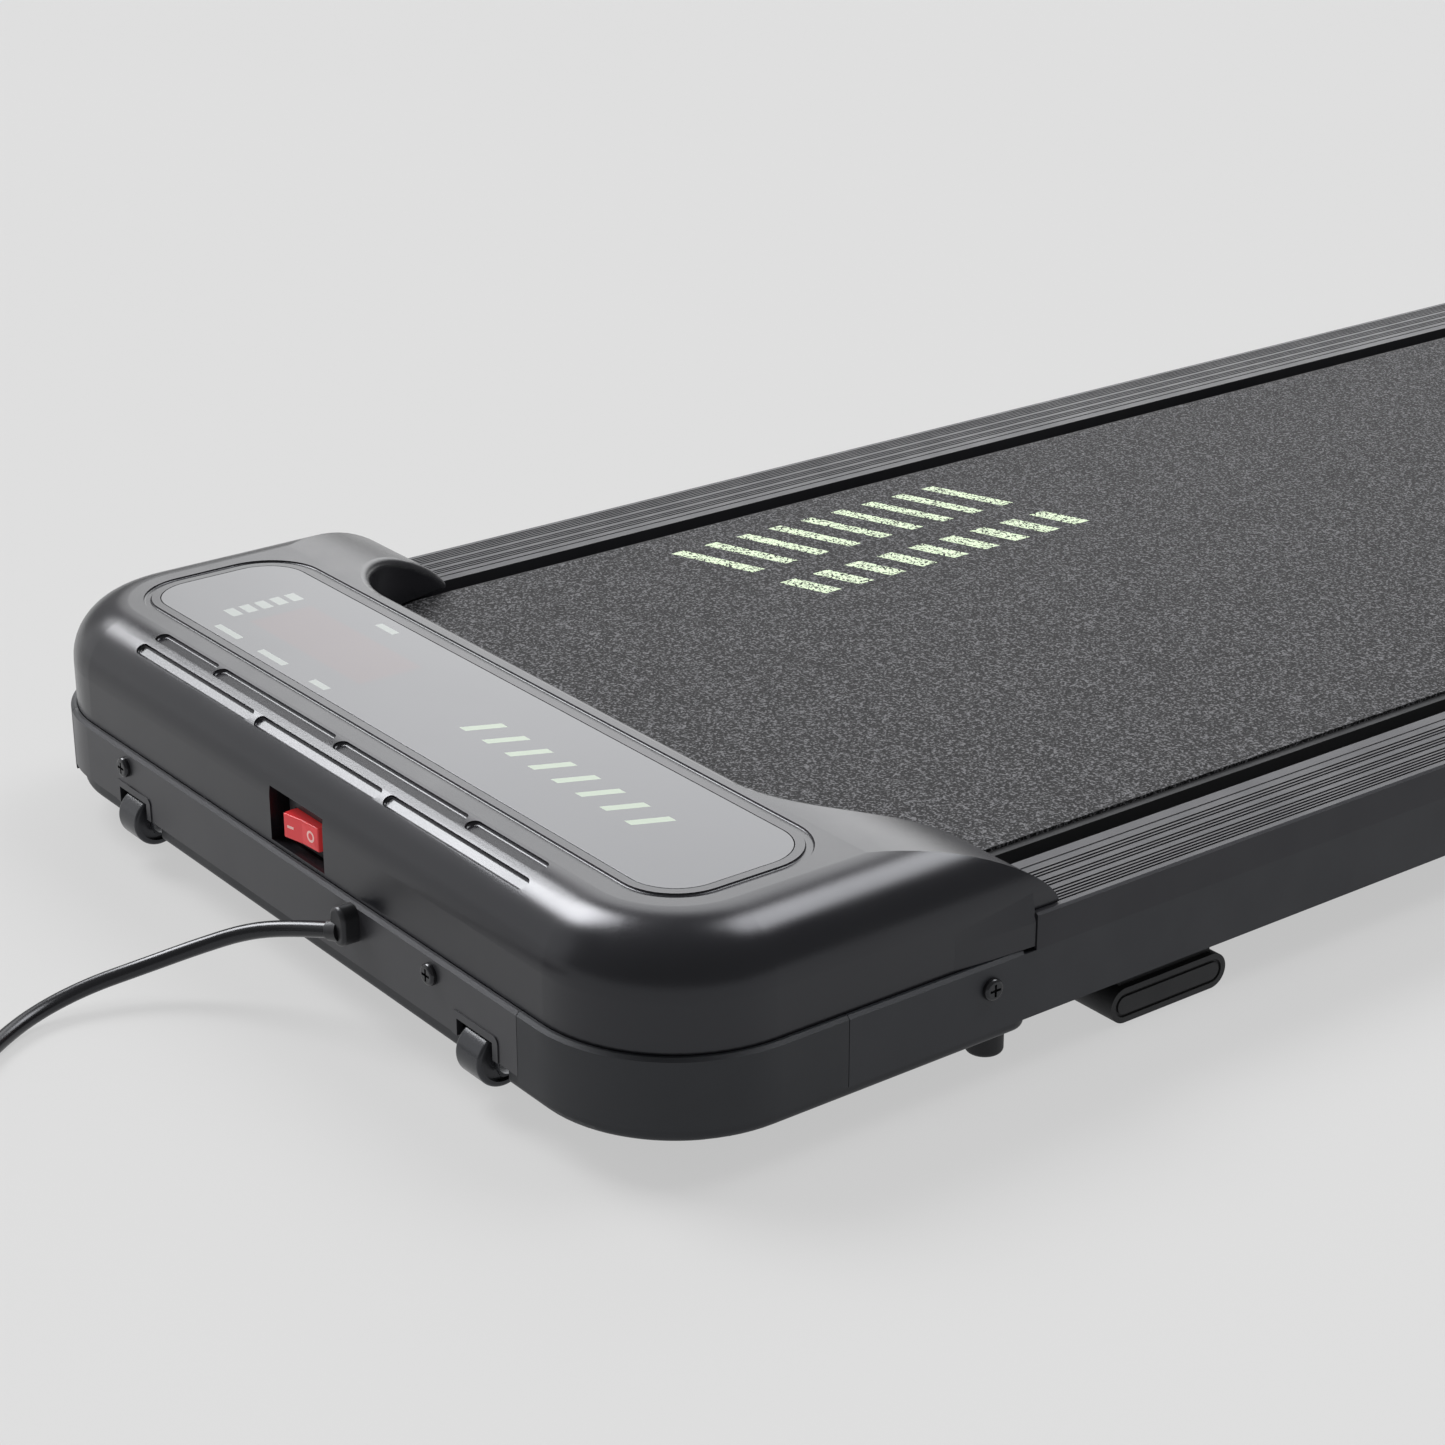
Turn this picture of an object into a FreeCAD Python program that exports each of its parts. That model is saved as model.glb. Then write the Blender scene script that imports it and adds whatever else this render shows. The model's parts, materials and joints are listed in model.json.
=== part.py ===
"""Under-desk walking treadmill, built as separate sub-parts.

Frame: +X to the right-hand foot rail, +Y towards the rear roller, +Z up, millimetres.
The origin is on the floor, at the centre of the machine's plan, so the motor head is at -Y.
"""
import FreeCAD, Part
import math
import os

os.makedirs("parts", exist_ok=True)
V = FreeCAD.Vector

# ---------------------------------------------------------------- driving dimensions
HALF_WIDTH = 250.0            # outer faces of the side frames and foot rails
HALF_LENGTH = 590.0           # rear caps; the transport wheels reach the same distance forward
FRAME_BOTTOM = 22.8
FRAME_TOP = 52.0
RAIL_TOP = 68.0
HEAD_TOP = 101.65
SHEET = 1.8                   # thickness of the folded steel

SHELL_FRONT = -585.5          # front face of the lower shell
SHELL_WALL = 2.7
SHELL_RADIUS = 66.0
LIP_TOP = 53.4                # the lower shell's lip stands around the foot of the cover
FRONT_SEAM_RIGHT = 170.0
FRONT_SEAM_LEFT = -205.0
SIDE_SEAM = -487.0            # where the corner shells meet the side frames
SEAM_GAP = 0.3

BEAM_BOTTOM = 25.6            # lower edge of the steel front beam

SCREW_FRONT_X = (-146.9, 109.4)
SCREW_FRONT_Z = 45.0
SIDE_SCREW_Y = -415.0
SIDE_SCREW_Z = 42.3
TRAY_SCREWS = ((-200, -540), (200, -540), (-200, -460), (200, -460))

COVER_FRONT = -582.5
COVER_HALF_WIDTH = 247.0
COVER_CORNER = 63.0
COVER_WALL = 2.5
COVER_SHOULDER = 27.0         # radius of the top edge
COVER_REAR = -451.5           # straight rear edge between the wings
COVER_SIDE_END = -392.0       # end of the cover's side walls, where the foot rails start
WING_START = -455.0           # the wings' top edge falls from here to the tips
WING_TIP = -378.0
WING_TIP_HEIGHT = 69.5
WING_INNER_X = 182.5          # the wings' inner sides, at the rear edge
WING_FLARE = 0.2              # outward slope of the inner sides towards the tips
WING_HOLLOW_RADIUS = 60.0     # hollow curve from the rear edge into each wing
CREST_RADIUS = 4.5            # rounding of the edge above that hollow

LENS_HALF_WIDTH = 205.0
LENS_FRONT = -540.3
LENS_REAR = -467.8
LENS_CORNER = 21.0
LENS_THICKNESS = 2.5
TRIM_GROOVE = (4.3, 8.1)      # inner and outer distance of the pressed ring from the lens edge

RAIL_INNER_X = 209.6
RAIL_REAR = 529.7
RAIL_LINE = 6.05              # shallow line near the inner edge of the tread
RAIL_GROOVES = (10.9, 13.2, 15.25, 19.6, 21.7, 23.8, 27.9, 30.1, 32.2, 34.2, 36.2)
RAIL_GROOVE_WIDTH = 1.1
RAIL_GROOVE_DEPTH = 1.6

BELT_HALF_WIDTH = 193.7
BELT_THICKNESS = 1.6
ROLLER_RADIUS = 19.0
ROLLER_Z = 47.6
FRONT_ROLLER_Y = -472.5
REAR_ROLLER_Y = 556.0
RUNNING_GAP = 0.3             # between a roller or pulley and the belt around it
SHAFT_RADIUS = 7.0
BEARING_GAP = 0.05
ADJUSTER_X = 225.0
AXLE_TRAVEL = 6.0             # forward from the taut position
END_PLATE_Y = 577.0
BRACKET_INNER_X = 207.4       # plates that carry the roller shafts
CAP_INNER_X = 204.5

DECK_HALF_WIDTH = 198.0
DECK_FRONT = -440.0
DECK_REAR = 528.0
DECK_THICKNESS = 12.0
DECK_TOP = ROLLER_Z + ROLLER_RADIUS + RUNNING_GAP
CROSS_MEMBER_Y = (-380.0, -90.0, 200.0, 480.0)
DECK_SCREW_X = 150.0

MOTOR_Y = -537.5
MOTOR_Z = 58.0
MOTOR_RADIUS = 35.0
MOTOR_LEFT = -177.0
MOTOR_RIGHT = -53.0
MOTOR_PULLEY_RADIUS = 10.0
ROLLER_PULLEY_RADIUS = 25.0
PULLEY_LEFT = -206.8
PULLEY_RIGHT = -195.5

SWITCH_X = 3.3
SWITCH_Z = 66.2
POCKET_X = (-19.1, 24.2)
POCKET_Z = (55.3, 80.0)
ROCKER_RADIUS = 12.0
ROCKER_PIVOT_Y = -577.5
ROCKER_HEIGHT = 11.0
ROCKER_TILT = 8.0             # degrees each way from the middle
RECESS_FLOOR_Y = -572.0

WHEEL_X = 140.7
WHEEL_Y = -578.0
WHEEL_Z = 21.5
WHEEL_RADIUS = 12.0
WHEEL_HALF_WIDTH = 8.5
WHEEL_AXLE_RADIUS = 3.0
WHEEL_OPENING = 12.6          # half width of the opening in the front beam
WHEEL_OPENING_TOP = 33.2

PLATE_BOTTOM = 20.0           # steel chassis plate under the motor head
TRAY_BOTTOM = 15.2
TRAY_REAR = -388.0

GLAND_X = 50.5
GLAND_Z = 44.5
GLAND_FACE = -593.5
CORD_DIAMETER = 7.0
COIL_CENTRE = (-26.0, -808.0)
COIL_OUTER = 52.5
COIL_INNER = 24.5
COIL_HEIGHT = 14.0
PLUG_Y = -905.0
# The lead falls from the gland to the floor, runs to the coil, and a short tail leads to the plug
CORD_ROUTE = [(44, -592.5, 40.5), (26, -599.5, 36.5), (8, -611, 31), (-8, -626, 22.5), (-20, -646, 14.5),
              (-27, -669, 9.5), (-26.5, -693, 5), (-15, -716, 3.5), (2, -736, 3.5), (15, -759, 3.5),
              (21.5, -784, 3.5), (23, -808, 3.5)]
TAIL_ROUTE = [(23, -808, 10.5), (24, -826, 10.5), (22, -844, 10), (17, -861, 9.5), (17, -876, 9.5)]


# ---------------------------------------------------------------- shared shapes
def box(x, y, z):
    """Box between the (low, high) pairs x, y and z."""
    return Part.makeBox(x[1] - x[0], y[1] - y[0], z[1] - z[0], V(x[0], y[0], z[0]))


def rod(radius, start, end):
    """Round rod between two points."""
    start, end = V(*start), V(*end)
    return Part.makeCylinder(radius, (end - start).Length, start, end - start)


def ring(outer, inner, start, end):
    """Round ring between two points."""
    return rod(outer, start, end).cut(rod(inner, start, end))


def union(shapes):
    """One solid from touching shapes."""
    shapes = list(shapes)
    return shapes[0].fuse(shapes[1:]).removeSplitter()


def mirrored(shape):
    """The same shape on the other side of the machine."""
    return shape.mirror(V(0, 0, 0), V(1, 0, 0))


def both_sides(shape):
    """A group of the shape and its mirror image."""
    return [shape, mirrored(shape)]


def on_floor(a, b):
    """Places a flat outline in the XY plane."""
    return V(a, b, 0)


def on_side(a, b):
    """Places a flat outline in the YZ plane."""
    return V(0, a, b)


def on_end(a, b):
    """Places a flat outline in the XZ plane."""
    return V(a, 0, b)


def rounded_face(corners, radii, place):
    """Face of a polygon whose corners are rounded by the given radii."""
    spans = []
    count = len(corners)
    for index, (corner, radius) in enumerate(zip(corners, radii)):
        point = place(*corner)
        back = (place(*corners[index - 1]) - point).normalize()
        ahead = (place(*corners[(index + 1) % count]) - point).normalize()
        if radius == 0:
            spans.append((point, None, point))
            continue
        half = back.getAngle(ahead) / 2
        bisector = (back + ahead).normalize()
        trim = radius / math.tan(half)
        middle = point + bisector * (radius / math.sin(half) - radius)
        spans.append((point + back * trim, middle, point + ahead * trim))
    edges = []
    for index, (start, middle, end) in enumerate(spans):
        if middle is not None:
            edges.append(Part.Arc(start, middle, end).toShape())
        following = spans[(index + 1) % count][0]
        if (following - end).Length > 1e-6:
            edges.append(Part.LineSegment(end, following).toShape())
    return Part.Face(Part.Wire(edges))


def rounded_plan(half_width, front, rear, front_radius, rear_radius=0.0):
    """Plan outline of a head part: a rectangle with its own front and rear corner radii."""
    corners = [(-half_width, front), (half_width, front), (half_width, rear), (-half_width, rear)]
    return rounded_face(corners, [front_radius, front_radius, rear_radius, rear_radius], on_floor)


def lifted(face, low, high):
    """Prism of a plan outline between two heights."""
    return face.translated(V(0, 0, low)).extrude(V(0, 0, high - low))


def stadium(first, second, radius, place):
    """Face of a slot outline between two arc centres that share a plane."""
    first, second = place(*first), place(*second)
    along = (second - first).normalize()
    normal = (place(1, 0) - place(0, 0)).cross(place(0, 1) - place(0, 0))
    side = normal.cross(along) * radius
    tip = along * radius
    edges = [
        Part.LineSegment(first + side, second + side).toShape(),
        Part.Arc(second + side, second + tip, second - side).toShape(),
        Part.LineSegment(second - side, first - side).toShape(),
        Part.Arc(first - side, first - tip, first + side).toShape(),
    ]
    return Part.Face(Part.Wire(edges))


def loop_face(first, first_radius, second, second_radius):
    """Side view of an open belt run round two pulleys, as the filled outline of the loop."""
    first, second = on_side(*first), on_side(*second)
    along = second - first
    distance = along.Length
    along.normalize()
    across = V(1, 0, 0).cross(along)
    lean = (first_radius - second_radius) / distance
    upper = along * lean + across * math.sqrt(1 - lean * lean)
    lower = along * lean - across * math.sqrt(1 - lean * lean)
    edges = [
        Part.LineSegment(first + upper * first_radius, second + upper * second_radius).toShape(),
        Part.Arc(second + upper * second_radius, second + along * second_radius,
                 second + lower * second_radius).toShape(),
        Part.LineSegment(second + lower * second_radius, first + lower * first_radius).toShape(),
        Part.Arc(first + lower * first_radius, first - along * first_radius,
                 first + upper * first_radius).toShape(),
    ]
    return Part.Face(Part.Wire(edges))


def belt_loop(first, first_radius, second, second_radius, thickness, x):
    """Closed belt of constant thickness round two pulleys, between two X positions."""
    outer = loop_face(first, first_radius + thickness, second, second_radius + thickness)
    inner = loop_face(first, first_radius, second, second_radius)
    return outer.cut(inner).translated(V(x[0], 0, 0)).extrude(V(x[1] - x[0], 0, 0))


def cord_tube(name, points, radius):
    """Tube along straight runs joined by tangent arcs, each as large as its runs allow."""
    points = [V(*point) for point in points]
    edges = []
    radii = []
    place = points[0]
    for before, corner, after in zip(points, points[1:], points[2:]):
        back = (before - corner)
        ahead = (after - corner)
        half_turn = (math.pi - back.getAngle(ahead)) / 2
        shorter = min(back.Length, ahead.Length)
        trim = 0.45 * shorter
        bend = trim / math.tan(half_turn)
        radii.append(round(bend, 1))
        back.normalize()
        ahead.normalize()
        start = corner + back * trim
        end = corner + ahead * trim
        inward = (back + ahead).normalize()
        middle = corner + inward * (bend / math.cos(half_turn) - bend)
        edges.append(Part.LineSegment(place, start).toShape())
        edges.append(Part.Arc(start, middle, end).toShape())
        place = end
    edges.append(Part.LineSegment(place, points[-1]).toShape())
    path = Part.Wire(edges)
    first_run = points[1] - points[0]
    section = Part.Wire(Part.makeCircle(radius, points[0], first_run))
    tube = path.makePipeShell([section], True, False)
    expected = math.pi * radius ** 2 * path.Length
    print(name, "length", round(path.Length, 1), "radii", radii, "volume ratio",
          round(tube.Volume / expected, 4))
    return tube


def pan_screw(seat, direction, head_radius, shank_radius, shank_length):
    """Cross-recessed pan-head screw: the head stands on the seat, the shank goes the other way."""
    seat, direction = V(*seat), V(*direction)
    height = head_radius * 0.52
    head = Part.makeCylinder(head_radius, height, seat, direction)
    rim = [edge for edge in head.Edges
           if edge.Closed and (edge.CenterOfMass - seat).dot(direction) > height / 2]
    head = head.makeFillet(height * 0.6, rim)
    shank = Part.makeCylinder(shank_radius, shank_length + 0.5, seat + direction * 0.5, direction * -1)
    slot = Part.makeBox(head_radius * 1.15, head_radius * 0.24, height,
                        V(-head_radius * 0.575, -head_radius * 0.12, height * 0.45))
    cross = slot.fuse(slot.rotated(V(0, 0, 0), V(0, 0, 1), 90))
    cross.Placement = FreeCAD.Placement(seat, FreeCAD.Rotation(V(0, 0, 1), direction))
    return union([head, shank]).cut(cross)


def write(node, solids):
    """Writes one node; several separate solids go in as one group."""
    solids = solids if isinstance(solids, list) else [solids]
    shape = solids[0] if len(solids) == 1 else Part.makeCompound(solids)
    bad = [solid for solid in solids if not solid.isValid() or len(solid.Solids) != 1]
    if bad:
        print("CHECK", node, [(len(solid.Solids), solid.isValid()) for solid in solids])
    shape.exportStep("parts/" + node + ".step")


# ---------------------------------------------------------------- frame, rails and deck
def side_frame():
    """Right-hand C-section side frame, open inwards, with the lip that backs the cover's foot."""
    outer = box((RAIL_INNER_X, HALF_WIDTH), (SIDE_SEAM, RAIL_REAR), (FRAME_BOTTOM, FRAME_TOP))
    channel = box((RAIL_INNER_X, HALF_WIDTH - SHEET), (SIDE_SEAM, RAIL_REAR),
                  (FRAME_BOTTOM + SHEET, FRAME_TOP - SHEET))
    lip_corners = [(HALF_WIDTH - SHELL_WALL, FRAME_TOP), (HALF_WIDTH, FRAME_TOP),
                   (HALF_WIDTH - 1.4, LIP_TOP), (HALF_WIDTH - SHELL_WALL, LIP_TOP)]
    lip = rounded_face(lip_corners, [0, 0, 0, 0], on_end).translated(V(0, SIDE_SEAM, 0))
    lip = lip.extrude(V(0, -398 - SIDE_SEAM, 0))
    hole = rod(2.1, (HALF_WIDTH - 5, SIDE_SCREW_Y, SIDE_SCREW_Z),
               (HALF_WIDTH + 5, SIDE_SCREW_Y, SIDE_SCREW_Z))
    return union([outer.cut(channel), lip]).cut(hole)


def foot_rail():
    """Right-hand extruded foot rail: grooved tread, two legs and a rib that stand on the side frame."""
    rail_width = HALF_WIDTH - RAIL_INNER_X
    tread = box((RAIL_INNER_X, HALF_WIDTH), (COVER_SIDE_END + 0.4, RAIL_REAR), (RAIL_TOP - 3, RAIL_TOP))
    legs = []
    for left, right in ((0, 2), (19, 21), (rail_width - 2, rail_width)):
        legs.append(box((RAIL_INNER_X + left, RAIL_INNER_X + right),
                        (COVER_SIDE_END + 0.4, RAIL_REAR), (FRAME_TOP, RAIL_TOP - 3)))
    rail = union([tread] + legs)
    corner_edges = [edge for edge in rail.Edges
                    if edge.Length > 900 and abs(edge.CenterOfMass.z - RAIL_TOP) < 0.01
                    and abs(edge.CenterOfMass.x - HALF_WIDTH) < 0.01]
    rail = rail.makeChamfer(1.0, corner_edges)
    half = RAIL_GROOVE_WIDTH / 2
    for offset in (RAIL_LINE,) + RAIL_GROOVES:
        depth = 0.3 if offset == RAIL_LINE else RAIL_GROOVE_DEPTH
        rail = rail.cut(box((RAIL_INNER_X + offset - half, RAIL_INNER_X + offset + half),
                            (COVER_SIDE_END, RAIL_REAR), (RAIL_TOP - depth, RAIL_TOP + 1)))
    return rail


def cross_member(y):
    """Channel across the machine inside the belt loop, open downwards."""
    reach = HALF_WIDTH - SHEET
    outer = box((-reach, reach), (y - 15, y + 15), (31.4, FRAME_TOP - SHEET))
    inner = box((-reach, reach), (y - 15 + SHEET, y + 15 - SHEET), (31.4, FRAME_TOP - 2 * SHEET))
    member = outer.cut(inner)
    for x in (-DECK_SCREW_X, DECK_SCREW_X):
        member = member.cut(rod(2.2, (x, y, 40), (x, y, 60)))
    return member


def deck():
    """Running board with blind holes for its screws."""
    bottom = DECK_TOP - DECK_THICKNESS
    board = box((-DECK_HALF_WIDTH, DECK_HALF_WIDTH), (DECK_FRONT, DECK_REAR), (bottom, DECK_TOP))
    for y in CROSS_MEMBER_Y:
        for x in (-DECK_SCREW_X, DECK_SCREW_X):
            board = board.cut(rod(2.1, (x, y, bottom), (x, y, bottom + 9)))
    return board


def deck_mounting():
    """Rubber cushions under the deck and the screws that hold it down through them."""
    cushions = []
    screws = []
    for y in CROSS_MEMBER_Y:
        for x in (-DECK_SCREW_X, DECK_SCREW_X):
            cushions.append(ring(12, 2.2, (x, y, FRAME_TOP - SHEET), (x, y, DECK_TOP - DECK_THICKNESS)))
            screws.append(pan_screw((x, y, FRAME_TOP - 2 * SHEET), (0, 0, -1), 4.2, 2.0, 14))
    return cushions, screws


def walking_belt():
    """Endless belt round the two rollers."""
    radius = ROLLER_RADIUS + RUNNING_GAP
    return belt_loop((FRONT_ROLLER_Y, ROLLER_Z), radius, (REAR_ROLLER_Y, ROLLER_Z), radius,
                     BELT_THICKNESS, (-BELT_HALF_WIDTH, BELT_HALF_WIDTH))


# ---------------------------------------------------------------- rollers
def roller_tube(y, left, right):
    """Steel tube that carries the belt."""
    return ring(ROLLER_RADIUS, 16.5, (left, y, ROLLER_Z), (right, y, ROLLER_Z))


def roller_bearings(y, left, right):
    """Ball bearings pressed into the two ends of a roller."""
    inner = SHAFT_RADIUS + BEARING_GAP
    return [ring(16.5, inner, (left, y, ROLLER_Z), (left + 11, y, ROLLER_Z)),
            ring(16.5, inner, (right - 11, y, ROLLER_Z), (right, y, ROLLER_Z))]


def flanged_pulley(y, z, radius, bore):
    """Flat pulley with a flange on each side of the drive belt, and shallow ribs round its rim."""
    wheel = rod(radius, (PULLEY_LEFT, y, z), (PULLEY_RIGHT, y, z))
    flanges = [rod(radius + 2.5, (x, y, z), (x + 1, y, z)) for x in (PULLEY_LEFT, PULLEY_RIGHT - 1)]
    pulley = union([wheel] + flanges)
    for step in range(4):
        x = PULLEY_LEFT + 2.2 + step * 2.0
        pulley = pulley.cut(ring(radius + 1, radius - 0.6, (x, y, z), (x + 0.9, y, z)))
    return pulley.cut(rod(bore, (PULLEY_LEFT - 1, y, z), (PULLEY_RIGHT + 1, y, z)))


def front_roller_bracket():
    """Right-hand plate welded across the open side of the frame, which holds the front shaft."""
    plate = box((BRACKET_INNER_X, RAIL_INNER_X), (-490, -455), (FRAME_BOTTOM + SHEET, 60))
    return plate.cut(rod(SHAFT_RADIUS, (200, FRONT_ROLLER_Y, ROLLER_Z), (220, FRONT_ROLLER_Y, ROLLER_Z)))


def rear_axle():
    """Fixed axle of the rear roller, cross-drilled near its ends for the adjuster bolts."""
    axle = rod(SHAFT_RADIUS, (-233, REAR_ROLLER_Y, ROLLER_Z), (233, REAR_ROLLER_Y, ROLLER_Z))
    for x in (-ADJUSTER_X, ADJUSTER_X):
        axle = axle.cut(rod(3.05, (x, REAR_ROLLER_Y - 20, ROLLER_Z), (x, REAR_ROLLER_Y + 20, ROLLER_Z)))
    return axle


def rear_bracket():
    """Right-hand rear bracket: a slot guides the axle and a folded end plate takes the bolt."""
    low = FRAME_BOTTOM + SHEET
    plate = box((BRACKET_INNER_X, RAIL_INNER_X), (496, END_PLATE_Y + 3), (low, FRAME_TOP))
    raised = box((BRACKET_INNER_X, RAIL_INNER_X), (534, END_PLATE_Y + 3), (FRAME_TOP, 60))
    end_plate = box((RAIL_INNER_X, 240), (END_PLATE_Y, END_PLATE_Y + 3), (34, 60))
    slot = stadium((REAR_ROLLER_Y - AXLE_TRAVEL, ROLLER_Z), (REAR_ROLLER_Y, ROLLER_Z),
                   SHAFT_RADIUS + BEARING_GAP, on_side)
    slot = slot.translated(V(200, 0, 0)).extrude(V(20, 0, 0))
    hole = rod(3.3, (ADJUSTER_X, END_PLATE_Y - 5, ROLLER_Z), (ADJUSTER_X, END_PLATE_Y + 5, ROLLER_Z))
    return union([plate, raised, end_plate]).cut(slot).cut(hole)


def adjuster_bolt():
    """Right-hand hexagon bolt that draws the axle back."""
    seat = END_PLATE_Y + 3 + RUNNING_GAP
    corner = 10.0 / math.sqrt(3)
    corners = []
    for step in range(6):
        angle = math.radians(60 * step)
        corners.append((ADJUSTER_X + corner * math.cos(angle), ROLLER_Z + corner * math.sin(angle)))
    head = rounded_face(corners, [0] * 6, on_end).translated(V(0, seat, 0)).extrude(V(0, 4, 0))
    shank = rod(3.0, (ADJUSTER_X, 530, ROLLER_Z), (ADJUSTER_X, seat + 0.5, ROLLER_Z))
    return union([head, shank])


def rear_cap():
    """Right-hand moulded cap over the rear bracket, open at the front and underneath."""
    corners = [(CAP_INNER_X, 530), (HALF_WIDTH, 530), (HALF_WIDTH, HALF_LENGTH), (CAP_INNER_X, HALF_LENGTH)]
    cap = lifted(rounded_face(corners, [0, 0, 22, 6], on_floor), FRAME_BOTTOM, 69.5)
    top_edges = [edge for edge in cap.Edges
                 if abs(edge.CenterOfMass.z - 69.5) < 0.01 and edge.CenterOfMass.y > 531]
    cap = cap.makeFillet(3.0, top_edges)
    corners = [(CAP_INNER_X + 2, 529), (HALF_WIDTH - 2, 529), (HALF_WIDTH - 2, HALF_LENGTH - 2),
               (CAP_INNER_X + 2, HALF_LENGTH - 2)]
    hollow = lifted(rounded_face(corners, [0, 0, 20, 4], on_floor), 20, 67)
    axle_slot = box((200, CAP_INNER_X + 2.05), (540, 568), (20, 57))
    bolt_hole = rod(7.5, (ADJUSTER_X, 580, ROLLER_Z), (ADJUSTER_X, 600, ROLLER_Z))
    return cap.cut(hollow).cut(axle_slot).cut(bolt_hole)


# ---------------------------------------------------------------- head: lower shell and tray
def shell_ring():
    """Whole lower shell before it is cut at its seams: a wall with a bevelled lip and a ledge."""
    outer = lifted(rounded_plan(HALF_WIDTH, SHELL_FRONT, SIDE_SEAM - SEAM_GAP, SHELL_RADIUS),
                   FRAME_BOTTOM, LIP_TOP)
    lip_edges = [edge for edge in outer.Edges
                 if abs(edge.CenterOfMass.z - LIP_TOP) < 0.01 and edge.CenterOfMass.y < SIDE_SEAM - 1]
    outer = outer.makeChamfer(1.4, lip_edges)
    inner_width = HALF_WIDTH - SHELL_WALL
    inner_front = SHELL_FRONT + SHELL_WALL
    inner_radius = SHELL_RADIUS - SHELL_WALL
    inner = lifted(rounded_plan(inner_width, inner_front, 0, inner_radius), 0, 200)
    ledge = lifted(rounded_plan(inner_width, inner_front, SIDE_SEAM - SEAM_GAP, inner_radius),
                   FRAME_TOP - SHEET, FRAME_TOP)
    ledge_hole = lifted(rounded_plan(inner_width - 5, inner_front + 5, 0, inner_radius - 5), 0, 200)
    return union([outer.cut(inner), ledge.cut(ledge_hole)])


def corner_shell_right(whole):
    """Moulded corner between the front seam and the right-hand side frame."""
    return whole.common(box((FRONT_SEAM_RIGHT + SEAM_GAP, 300), (-600, 0), (0, 100)))


def corner_shell_left(whole):
    """Moulded corner between the left-hand side frame and the front seam."""
    return whole.common(box((-300, FRONT_SEAM_LEFT - SEAM_GAP), (-600, 0), (0, 100)))


def front_beam(whole):
    """Steel front beam between the seams, with rimmed wheel openings and holes for gland and screws."""
    beam = whole.common(box((FRONT_SEAM_LEFT, FRONT_SEAM_RIGHT), (-600, 0), (BEAM_BOTTOM, 100)))
    inner_front = SHELL_FRONT + SHELL_WALL
    foot = box((FRONT_SEAM_LEFT + 24, FRONT_SEAM_RIGHT), (inner_front, inner_front + 15),
               (FRAME_BOTTOM, BEAM_BOTTOM + SHEET))
    reach = WHEEL_OPENING + 3.7
    rims = []
    for x in (-WHEEL_X, WHEEL_X):
        corners = [(x - reach, BEAM_BOTTOM), (x + reach, BEAM_BOTTOM),
                   (x + reach, WHEEL_OPENING_TOP + 3.3), (x - reach, WHEEL_OPENING_TOP + 3.3)]
        rim = rounded_face(corners, [0, 0, 3, 3], on_end)
        rims.append(rim.translated(V(0, SHELL_FRONT, 0)).extrude(V(0, -0.5, 0)))
    beam = union([beam, foot] + rims)
    for x in (-WHEEL_X, WHEEL_X):
        beam = beam.cut(box((x - WHEEL_OPENING, x + WHEEL_OPENING), (-600, -560), (0, WHEEL_OPENING_TOP)))
    for x in SCREW_FRONT_X:
        beam = beam.cut(rod(2.1, (x, -600, SCREW_FRONT_Z), (x, -570, SCREW_FRONT_Z)))
    return beam.cut(rod(4.5, (GLAND_X, -600, GLAND_Z), (GLAND_X, -570, GLAND_Z)))


def chassis_plate():
    """Plate that joins the front beam to the side frames and carries the motor; slotted for the drive."""
    plate = lifted(rounded_plan(242, -574, -445, 50), PLATE_BOTTOM, FRAME_BOTTOM)
    for x in (-WHEEL_X, WHEEL_X):
        plate = plate.cut(box((x - 18, x + 18), (-600, -556), (0, 50)))
    plate = plate.cut(box((PULLEY_LEFT - 2.5, PULLEY_RIGHT + 2.5), (-506, -440), (0, 50)))
    for x, y in TRAY_SCREWS:
        plate = plate.cut(rod(2.0, (x, y, 0), (x, y, 50)))
    return plate


def base_tray():
    """Moulded tray that closes the head from below, with wheel openings and air slots."""
    tray = lifted(rounded_plan(245.8, -581.5, TRAY_REAR, 62, 10), TRAY_BOTTOM, FRAME_BOTTOM)
    bottom_edges = [edge for edge in tray.Edges if abs(edge.CenterOfMass.z - TRAY_BOTTOM) < 0.01]
    tray = tray.makeFillet(3.0, bottom_edges)
    hollow = lifted(rounded_plan(243.3, -579, TRAY_REAR - 2.5, 59.5, 8), TRAY_BOTTOM + 2, 60)
    tray = tray.cut(hollow)
    for x in (-WHEEL_X, WHEEL_X):
        tray = tray.cut(box((x - 17, x + 17), (-600, -555), (0, 60)))
    for step in range(9):
        x = -64 + step * 16
        tray = tray.cut(box((x, x + 6), (-530, -500), (0, 18)))
    for x, y in TRAY_SCREWS:
        tray = tray.cut(rod(2.1, (x, y, 0), (x, y, 18)))
    return tray


def housing_screws():
    """Black pan-head screws in the front beam and in the side frames."""
    screws = [pan_screw((x, SHELL_FRONT, SCREW_FRONT_Z), (0, -1, 0), 4.75, 2.0, 8) for x in SCREW_FRONT_X]
    screws += both_sides(pan_screw((HALF_WIDTH, SIDE_SCREW_Y, SIDE_SCREW_Z), (1, 0, 0), 4.75, 2.0, 8))
    return screws


def tray_screws():
    """Screws that hold the tray up against the chassis plate."""
    return [pan_screw((x, y, TRAY_BOTTOM), (0, 0, -1), 4.0, 1.95, 7) for x, y in TRAY_SCREWS]


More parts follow.
